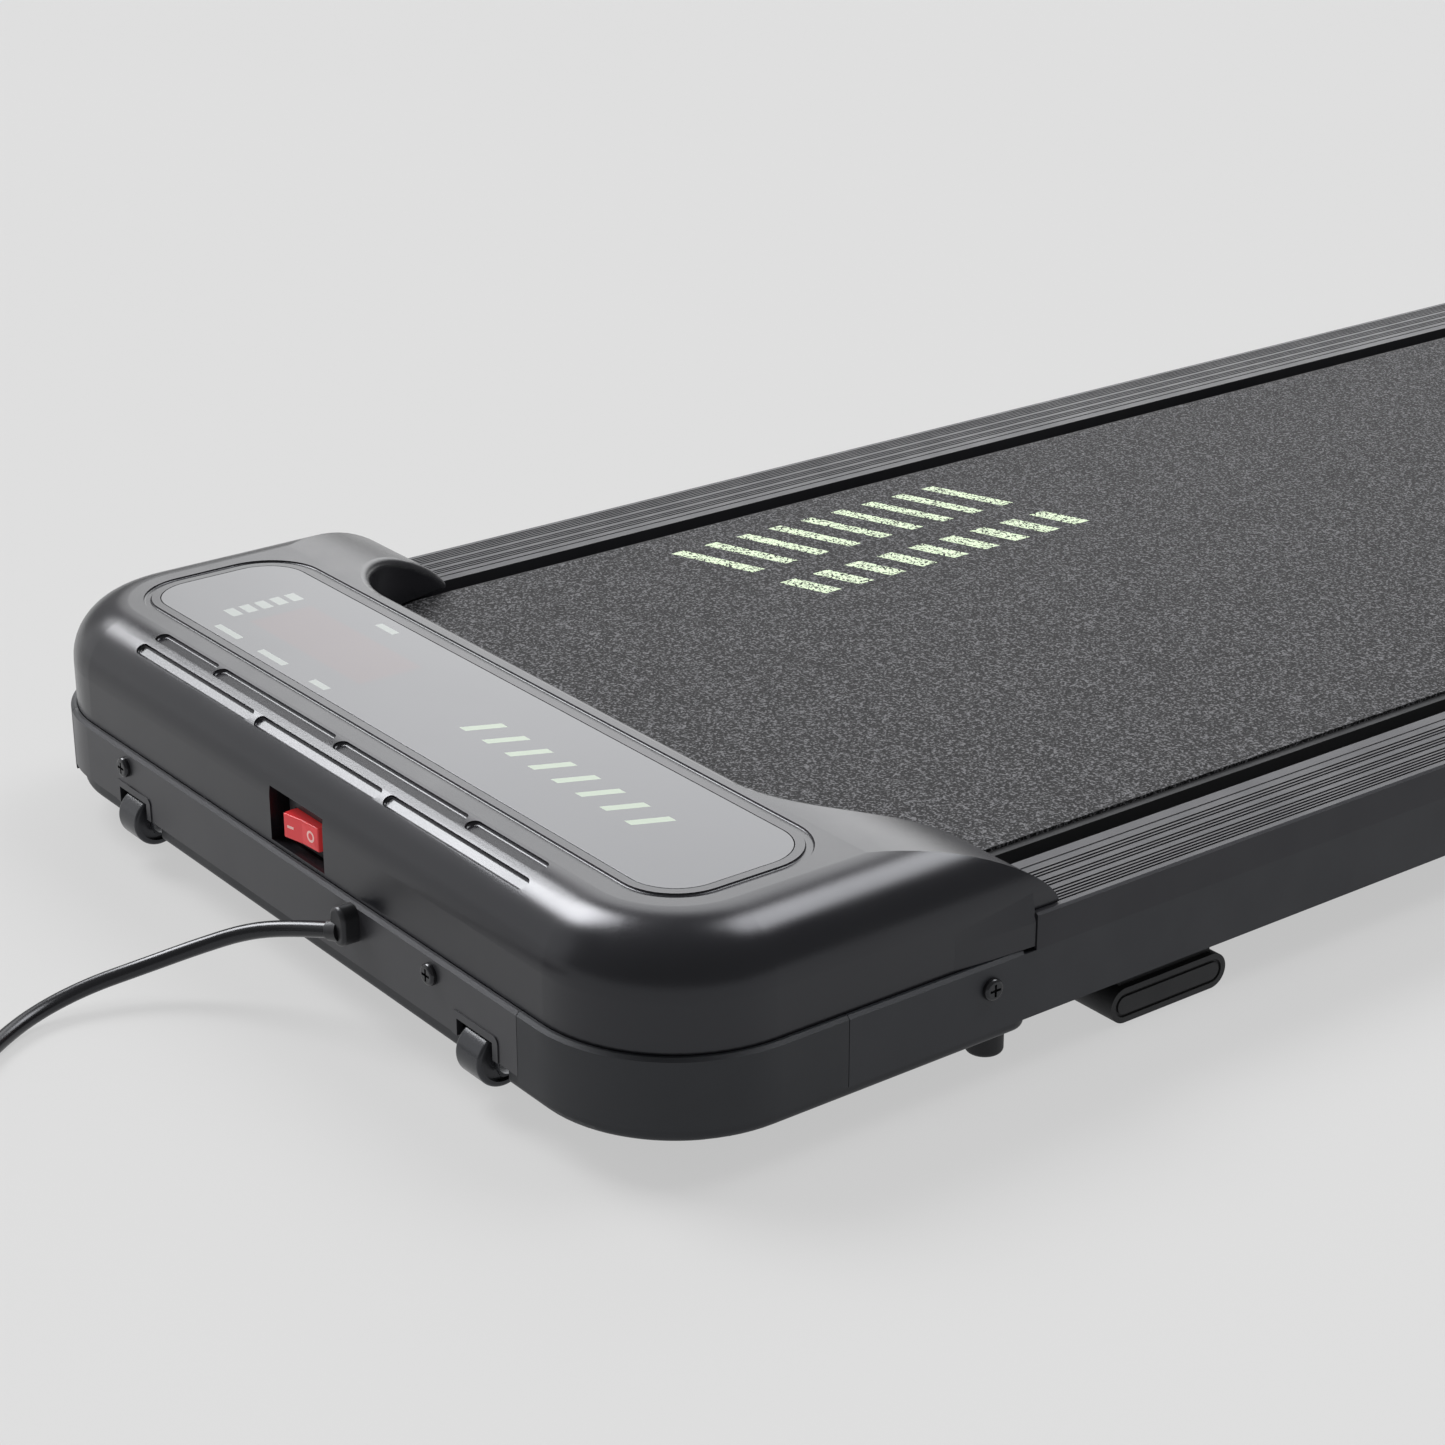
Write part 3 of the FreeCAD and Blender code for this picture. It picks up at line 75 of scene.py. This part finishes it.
# ---------------------------------------------------------------- mains lead
LEAD_DIAMETER = 0.007
COIL_CENTRE = (-0.026, -0.808)
COIL_TURNS = 3
COIL_STEPS = 24
COIL_OUTER_RADIUS = 0.049
COIL_TAPER = 0.021               # how much smaller the innermost turn is
LEAD_TO_COIL = [(0.044, -0.5925, 0.0405), (0.026, -0.5995, 0.0365), (0.008, -0.611, 0.0315),
                (-0.008, -0.626, 0.0225), (-0.02, -0.646, 0.0145), (-0.027, -0.669, 0.0095),
                (-0.0265, -0.693, 0.005), (-0.015, -0.716, 0.0035), (0.002, -0.736, 0.0035),
                (0.015, -0.759, 0.0035), (0.0215, -0.784, 0.0035)]
LEAD_TO_PLUG = [(0.024, -0.826, 0.0105), (0.022, -0.844, 0.01), (0.017, -0.861, 0.0095),
                (0.017, -0.876, 0.0095)]


def coil():
    """Six turns, clockwise from above: three inwards on the floor, then three outwards on top of them."""
    points = []
    half = COIL_TURNS * COIL_STEPS
    for step in range(2 * half + 1):
        inward = 1 - abs(step - half) / half
        climb = min(max((step - half) / COIL_STEPS + 0.5, 0.0), 1.0)
        angle = 2 * math.pi * step / COIL_STEPS
        radius = COIL_OUTER_RADIUS - COIL_TAPER * inward
        points.append((COIL_CENTRE[0] + radius * math.cos(angle),
                       COIL_CENTRE[1] - radius * math.sin(angle),
                       LEAD_DIAMETER / 2 + LEAD_DIAMETER * climb * climb * (3 - 2 * climb)))
    return points


def smooth_curve(name, points, diameter):
    """Round cord along one NURBS spline; its points carry the radius, so that its box is true."""
    data = bpy.data.curves.new(name, "CURVE")
    data.dimensions = "3D"
    data.bevel_depth = 1.0
    data.bevel_resolution = 6
    data.resolution_u = 8
    data.use_fill_caps = True
    spline = data.splines.new("NURBS")
    spline.points.add(len(points) - 1)
    for point, place in zip(spline.points, points):
        point.co = (*place, 1.0)
        point.radius = diameter / 2
    spline.order_u = 3
    spline.use_endpoint_u = True
    cord = bpy.data.objects.new(name, data)
    bpy.context.scene.collection.objects.link(cord)
    return cord


def add_lead():
    """The lead from the gland to the floor, six turns of coil, and a short run to the plug."""
    lead = smooth_curve("mains_lead", LEAD_TO_COIL + coil() + LEAD_TO_PLUG, LEAD_DIAMETER)
    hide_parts("power_cord", "power_cord_tail", "power_cord_coil")
    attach(lead, "frame")
    return lead


lead = add_lead()


# ---------------------------------------------------------------- node helpers
def new_material(name):
    """An empty node material with its Principled shader, object coordinates and links."""
    material = bpy.data.materials.new(name)
    material.use_nodes = True
    tree = material.node_tree
    shader = tree.nodes["Principled BSDF"]
    place = tree.nodes.new("ShaderNodeTexCoord")
    return material, tree, shader, place.outputs["Object"]


def noise(tree, place, scale, detail=2.0, roughness=0.5):
    """Noise of the given cycles per metre."""
    node = tree.nodes.new("ShaderNodeTexNoise")
    node.inputs["Scale"].default_value = scale
    node.inputs["Detail"].default_value = detail
    node.inputs["Roughness"].default_value = roughness
    tree.links.new(place, node.inputs["Vector"])
    return node.outputs["Fac"]


def ramp(tree, value, stops):
    """Colour ramp over (position, colour) stops."""
    node = tree.nodes.new("ShaderNodeValToRGB")
    tree.links.new(value, node.inputs["Fac"])
    elements = node.color_ramp.elements
    while len(elements) < len(stops):
        elements.new(0.5)
    for element, (position, colour) in zip(elements, stops):
        element.position = position
        element.color = (*colour, 1.0)
    return node.outputs["Color"]


def bump(tree, shader, height, distance, strength=1.0):
    """Bump of the given depth in metres, stacked on any bump already there."""
    node = tree.nodes.new("ShaderNodeBump")
    node.inputs["Distance"].default_value = distance
    node.inputs["Strength"].default_value = strength
    tree.links.new(height, node.inputs["Height"])
    if shader.inputs["Normal"].links:
        tree.links.new(shader.inputs["Normal"].links[0].from_socket, node.inputs["Normal"])
    tree.links.new(node.outputs["Normal"], shader.inputs["Normal"])


def spread(tree, shader, socket, value, low, high):
    """Feeds a noise value to a number socket, mapped between low and high."""
    node = tree.nodes.new("ShaderNodeMapRange")
    node.inputs["From Min"].default_value = 0.3
    node.inputs["From Max"].default_value = 0.7
    node.inputs["To Min"].default_value = low
    node.inputs["To Max"].default_value = high
    tree.links.new(value, node.inputs["Value"])
    tree.links.new(node.outputs["Result"], shader.inputs[socket])


def moulded(name, dark, light, rough, grain=2200.0, depth=0.00003, metallic=0.0, ior=1.48):
    """Moulded or painted surface: faint colour drift, uneven gloss and a fine grain."""
    material, tree, shader, place = new_material(name)
    drift = noise(tree, place, 9.0, 3.0)
    tree.links.new(ramp(tree, drift, [(0.3, dark), (0.7, light)]), shader.inputs["Base Color"])
    spread(tree, shader, "Roughness", noise(tree, place, 35.0, 4.0), rough[0], rough[1])
    shader.inputs["Metallic"].default_value = metallic
    shader.inputs["IOR"].default_value = ior
    shader.inputs["Specular Tint"].default_value = (0.92, 0.94, 1.0, 1)
    bump(tree, shader, noise(tree, place, grain, 2.0, 0.6), depth)
    return material


# ---------------------------------------------------------------- printed shapes, as masks
def number(tree, operation, *values):
    """Math node over sockets and plain numbers."""
    node = tree.nodes.new("ShaderNodeMath")
    node.operation = operation
    for socket, value in zip(node.inputs, values):
        if isinstance(value, (int, float)):
            socket.default_value = value
        else:
            tree.links.new(value, socket)
    return node.outputs["Value"]


def axes(tree, place):
    """Separate coordinates of a place, in metres."""
    node = tree.nodes.new("ShaderNodeSeparateXYZ")
    tree.links.new(place, node.inputs["Vector"])
    return node.outputs["X"], node.outputs["Y"], node.outputs["Z"]


def bar(tree, x, y, across, along, slant=0.0):
    """1 inside a bar between the (low, high) millimetre pairs across and along, else 0."""
    if slant:
        shift = number(tree, "MULTIPLY", number(tree, "SUBTRACT", y, MM * sum(along) / 2), slant)
        x = number(tree, "SUBTRACT", x, shift)
    inside_x = number(tree, "COMPARE", x, MM * sum(across) / 2, MM * (across[1] - across[0]) / 2)
    inside_y = number(tree, "COMPARE", y, MM * sum(along) / 2, MM * (along[1] - along[0]) / 2)
    return number(tree, "MULTIPLY", inside_x, inside_y)


def either(tree, masks):
    """1 where any of the masks is 1."""
    total = masks[0]
    for mask in masks[1:]:
        total = number(tree, "MAXIMUM", total, mask)
    return total


def tint(tree, shader, mask, colour):
    """Prints a colour over the base colour where the mask is 1."""
    mix = tree.nodes.new("ShaderNodeMix")
    mix.data_type = "RGBA"
    tree.links.new(mask, mix.inputs["Factor"])
    tree.links.new(shader.inputs["Base Color"].links[0].from_socket, mix.inputs["A"])
    mix.inputs["B"].default_value = (*colour, 1.0)
    tree.links.new(mix.outputs["Result"], shader.inputs["Base Color"])


def material_parts(material):
    """Node tree, shader and object coordinates of a material made above."""
    tree = material.node_tree
    place = next(node for node in tree.nodes if node.type == "TEX_COORD")
    return tree, tree.nodes["Principled BSDF"], place.outputs["Object"]


# Shapes printed on the lens: (low, high) millimetres in X, then in Y
DISPLAY_WINDOW = ((-142, -46.5), (-520, -488))
TOUCH_SQUARES = [((-162, -152), (low, low + 5.2)) for low in (-523, -515, -507, -499, -491)]
CAPTION_BARS = [((-147, -126), (-536, -532.4)), ((-108, -86), (-536, -532.4)),
                ((-63, -50), (-536, -532.4)), ((-103, -88), (-477.5, -473.8))]
LENS_STRIPES = [((24 + step * 17, 29.0 + step * 17), (-512, -495.5)) for step in range(8)]
LENS_SLANT = 0.45


def lens_material():
    """Smoked gloss lens with a dim display window, five touch squares, captions as bars and stripes."""
    material = moulded("lens", (0.030, 0.031, 0.034), (0.034, 0.035, 0.039), (0.09, 0.13), 600.0, 0.000004,
                       ior=1.6)
    tree, shader, place = material_parts(material)
    x, y, _ = axes(tree, place)
    tint(tree, shader, bar(tree, x, y, *DISPLAY_WINDOW), (0.046, 0.028, 0.029))
    marks = [bar(tree, x, y, *shape) for shape in TOUCH_SQUARES + CAPTION_BARS]
    tint(tree, shader, either(tree, marks), (0.16, 0.18, 0.165))
    stripes = [bar(tree, x, y, *shape, LENS_SLANT) for shape in LENS_STRIPES]
    tint(tree, shader, either(tree, stripes), (0.19, 0.24, 0.17))
    return material


# Stripes printed on the belt, in millimetres: one long and one short in each step along it
BELT_STRIPE_COUNT = 9
BELT_STRIPE_START = -252
BELT_STRIPE_PITCH = 21
LONG_STRIPE = (-171, -124)
SHORT_STRIPE = (-104, -78)
BELT_SLANT = 0.35
UPPER_RUN = 0.06                 # metres: only the upper run of the belt is above this height


def belt_material():
    """Grained belt with speckle in the grain, and a block of slanted stripes printed on its upper run."""
    material, tree, shader, place = new_material("belt_rubber")
    grain = noise(tree, place, 900.0, 1.0, 0.6)
    wide = noise(tree, place, 420.0, 2.0, 0.6)
    both = number(tree, "ADD", number(tree, "MULTIPLY", grain, 0.65), number(tree, "MULTIPLY", wide, 0.35))
    tones = [(0.40, (0.003, 0.003, 0.004)), (0.5, (0.012, 0.012, 0.0135)), (0.62, (0.115, 0.115, 0.122))]
    tree.links.new(ramp(tree, both, tones), shader.inputs["Base Color"])
    spread(tree, shader, "Roughness", wide, 0.70, 0.80)
    shader.inputs["Specular IOR Level"].default_value = 0.2
    bump(tree, shader, both, 0.0007, 0.9)
    x, y, z = axes(tree, place)
    stripes = []
    for step in range(BELT_STRIPE_COUNT):
        low = BELT_STRIPE_START + step * BELT_STRIPE_PITCH
        stripes.append(bar(tree, y, x, (low, low + 8), LONG_STRIPE, BELT_SLANT))
        stripes.append(bar(tree, y, x, (low + 14, low + 24), SHORT_STRIPE, BELT_SLANT))
    printed = number(tree, "MULTIPLY", either(tree, stripes), number(tree, "GREATER_THAN", z, UPPER_RUN))
    worn = number(tree, "MULTIPLY", printed, number(tree, "GREATER_THAN", both, 0.46))
    tint(tree, shader, worn, (0.52, 0.61, 0.44))
    return material


ROCKER_DASH = ((-5.4, -1.6), (65.6, 66.8))    # (low, high) millimetres in X, then in Z
ROCKER_RING_CENTRE = (0.0096, 0.0662)         # metres in X and Z
ROCKER_RING_RADIUS = 0.0021
ROCKER_RING_HALF_LINE = 0.0005


def rocker_material():
    """Glossy red rocker with a pale dash at the raised end and a pale ring at the other, and a faint painted
    glow.
    """
    material = moulded("rocker_red", (0.60, 0.030, 0.035), (0.68, 0.040, 0.048), (0.16, 0.24))
    tree, shader, place = material_parts(material)
    x, _, z = axes(tree, place)
    # painted glow: a faint red emission brightens the whole rocker
    shader.inputs["Emission Color"].default_value = (0.9, 0.06, 0.06, 1)
    shader.inputs["Emission Strength"].default_value = 0.16
    dash = bar(tree, x, z, *ROCKER_DASH)
    from_ring_x = number(tree, "SUBTRACT", x, ROCKER_RING_CENTRE[0])
    from_ring_z = number(tree, "SUBTRACT", z, ROCKER_RING_CENTRE[1])
    squares = number(tree, "ADD", number(tree, "MULTIPLY", from_ring_x, from_ring_x),
                     number(tree, "MULTIPLY", from_ring_z, from_ring_z))
    ring = number(tree, "COMPARE", number(tree, "SQRT", squares), ROCKER_RING_RADIUS,
                  ROCKER_RING_HALF_LINE)
    tint(tree, shader, either(tree, [dash, ring]), (0.80, 0.62, 0.58))
    return material


MATERIALS = {
    "frame_paint": moulded("frame_paint", (0.013, 0.014, 0.017), (0.017, 0.018, 0.021), (0.44, 0.52)),
    "front_paint": moulded("front_paint", (0.024, 0.024, 0.027), (0.029, 0.029, 0.032), (0.30, 0.36)),
    "rail_alloy": moulded("rail_alloy", (0.019, 0.019, 0.022), (0.025, 0.025, 0.029), (0.42, 0.50),
                          ior=1.38),
    "cover_plastic": moulded("cover_plastic", (0.008, 0.008, 0.010), (0.011, 0.011, 0.013), (0.21, 0.26)),
    "tray_plastic": moulded("tray_plastic", (0.009, 0.010, 0.012), (0.013, 0.014, 0.016), (0.44, 0.52)),
    "lens": lens_material(),
    "belt_rubber": belt_material(),
    "deck_board": moulded("deck_board", (0.006, 0.006, 0.006), (0.010, 0.010, 0.010), (0.70, 0.80)),
    "black_rubber": moulded("black_rubber", (0.008, 0.008, 0.008), (0.013, 0.013, 0.013), (0.55, 0.65)),
    "bare_steel": moulded("bare_steel", (0.5, 0.51, 0.53), (0.6, 0.61, 0.63), (0.25, 0.35), metallic=1.0),
    "cast_metal": moulded("cast_metal", (0.16, 0.16, 0.17), (0.24, 0.24, 0.25), (0.5, 0.6), metallic=1.0),
    "zinc_plate": moulded("zinc_plate", (0.42, 0.43, 0.45), (0.52, 0.53, 0.55), (0.3, 0.42), metallic=1.0),
    "black_screw": moulded("black_screw", (0.008, 0.008, 0.009), (0.012, 0.012, 0.013), (0.14, 0.20)),
    "switch_black": moulded("switch_black", (0.010, 0.010, 0.011), (0.014, 0.014, 0.015), (0.3, 0.4)),
    "rocker_red": rocker_material(),
    "wheel_plastic": moulded("wheel_plastic", (0.018, 0.019, 0.022), (0.024, 0.025, 0.028), (0.18, 0.26)),
    "circuit_board": moulded("circuit_board", (0.012, 0.12, 0.05), (0.02, 0.16, 0.07), (0.3, 0.4)),
    "component_black": moulded("component_black", (0.02, 0.02, 0.02), (0.03, 0.03, 0.03), (0.4, 0.5)),
    "heatsink_alloy": moulded("heatsink_alloy", (0.5, 0.51, 0.53), (0.6, 0.61, 0.63), (0.3, 0.4),
                              metallic=1.0),
    "pulley_alloy": moulded("pulley_alloy", (0.4, 0.41, 0.43), (0.5, 0.51, 0.53), (0.25, 0.35), metallic=1.0),
    "wire_sheath": moulded("wire_sheath", (0.02, 0.02, 0.02), (0.03, 0.03, 0.03), (0.4, 0.5)),
    "cord_pvc": moulded("cord_pvc", (0.006, 0.006, 0.007), (0.009, 0.009, 0.010), (0.20, 0.28)),
    "plug_plastic": moulded("plug_plastic", (0.012, 0.012, 0.013), (0.016, 0.016, 0.017), (0.35, 0.45)),
    "pin_brass": moulded("pin_brass", (0.68, 0.50, 0.24), (0.75, 0.57, 0.30), (0.2, 0.3), metallic=1.0),
}


def dress(obj, slot):
    """Gives a piece the one material of its slot."""
    obj.data.materials.clear()
    obj.data.materials.append(MATERIALS[slot])


def soften(obj, width):
    """Rounds a CAD piece's sharp edges by a small width, for highlights along them."""
    weld = obj.modifiers.new("weld", "WELD")
    weld.merge_threshold = 0.00001
    bevel = obj.modifiers.new("bevel", "BEVEL")
    bevel.width = width
    bevel.segments = 3
    bevel.limit_method = "ANGLE"
    bevel.angle_limit = math.radians(40)
    bevel.harden_normals = True


for part in frame["record"]["subparts"]:
    dress(frame["nodes"][part["node"]], part["material_slot"])
dress(lead, "cord_pvc")
SOFT_EDGES = {"display_lens": 0.0005, "switch_rocker": 0.0005, "power_switch": 0.0004}   # metres
for node, width in SOFT_EDGES.items():
    soften(frame["nodes"][node], width)


# ---------------------------------------------------------------- floor and light
FLOOR_HALF = 12.0
FLOOR_DROP = 0.0004              # keeps the floor just under the feet
FLOOR_GLOW = 0.522
AMBIENT = 0.26
# Soft lights in the sky: (direction, full inside degrees, fading over degrees, level)
SOFTBOXES = [((-0.62, 0.62, 0.48), 10, 19, 2.7), ((-0.66, -0.15, 0.72), 7, 12, 19.0),
             ((0.08, 0.58, 0.81), 7, 13, 9.0), ((-0.80, -0.55, 0.25), 14, 22, 0.7)]


def add_floor():
    """Plain pale floor that glows a little itself, so that shadows stay faint."""
    mesh = bpy.data.meshes.new("floor")
    corners = [(-FLOOR_HALF, -FLOOR_HALF, 0), (FLOOR_HALF, -FLOOR_HALF, 0),
               (FLOOR_HALF, FLOOR_HALF, 0), (-FLOOR_HALF, FLOOR_HALF, 0)]
    mesh.from_pydata(corners, [], [(0, 1, 2, 3)])
    floor = bpy.data.objects.new("floor", mesh)
    bpy.context.scene.collection.objects.link(floor)
    floor.location.z = -FLOOR_DROP
    material, tree, shader, place = new_material("floor_grey")
    tone = noise(tree, place, 1.5)
    tree.links.new(ramp(tree, tone, [(0.3, (0.119, 0.119, 0.119)), (0.7, (0.121, 0.121, 0.121))]),
                   shader.inputs["Base Color"])
    shader.inputs["Emission Color"].default_value = (1, 1, 1, 1)
    shader.inputs["Emission Strength"].default_value = FLOOR_GLOW
    shader.inputs["Roughness"].default_value = 1.0
    shader.inputs["Specular IOR Level"].default_value = 0.0
    mesh.materials.append(material)


def add_softbox(tree, toward, spread_deg, edge_deg, level):
    """Round soft light in the sky: full inside spread_deg of a direction, fading over edge_deg."""
    place = tree.nodes.new("ShaderNodeTexCoord")
    dot = tree.nodes.new("ShaderNodeVectorMath")
    dot.operation = "DOT_PRODUCT"
    dot.inputs[1].default_value = Vector(toward).normalized()
    tree.links.new(place.outputs["Generated"], dot.inputs[0])
    fade = tree.nodes.new("ShaderNodeMapRange")
    fade.interpolation_type = "SMOOTHSTEP"
    fade.inputs["From Min"].default_value = math.cos(math.radians(spread_deg + edge_deg))
    fade.inputs["From Max"].default_value = math.cos(math.radians(spread_deg))
    fade.inputs["To Max"].default_value = level
    tree.links.new(dot.outputs["Value"], fade.inputs["Value"])
    return fade.outputs["Result"]


def add_light():
    """Soft studio light from all round, with four round soft lights in the sky."""
    world = bpy.data.worlds.new("studio")
    bpy.context.scene.world = world
    world.use_nodes = True
    tree = world.node_tree
    background = tree.nodes["Background"]
    level = AMBIENT
    for toward, spread_deg, edge_deg, amount in SOFTBOXES:
        level = number(tree, "ADD", add_softbox(tree, toward, spread_deg, edge_deg, amount), level)
    tree.links.new(level, background.inputs["Strength"])
    background.inputs["Color"].default_value = (1, 1, 1, 1)


add_floor()
add_light()
bpy.context.scene.view_settings.view_transform = "Standard"
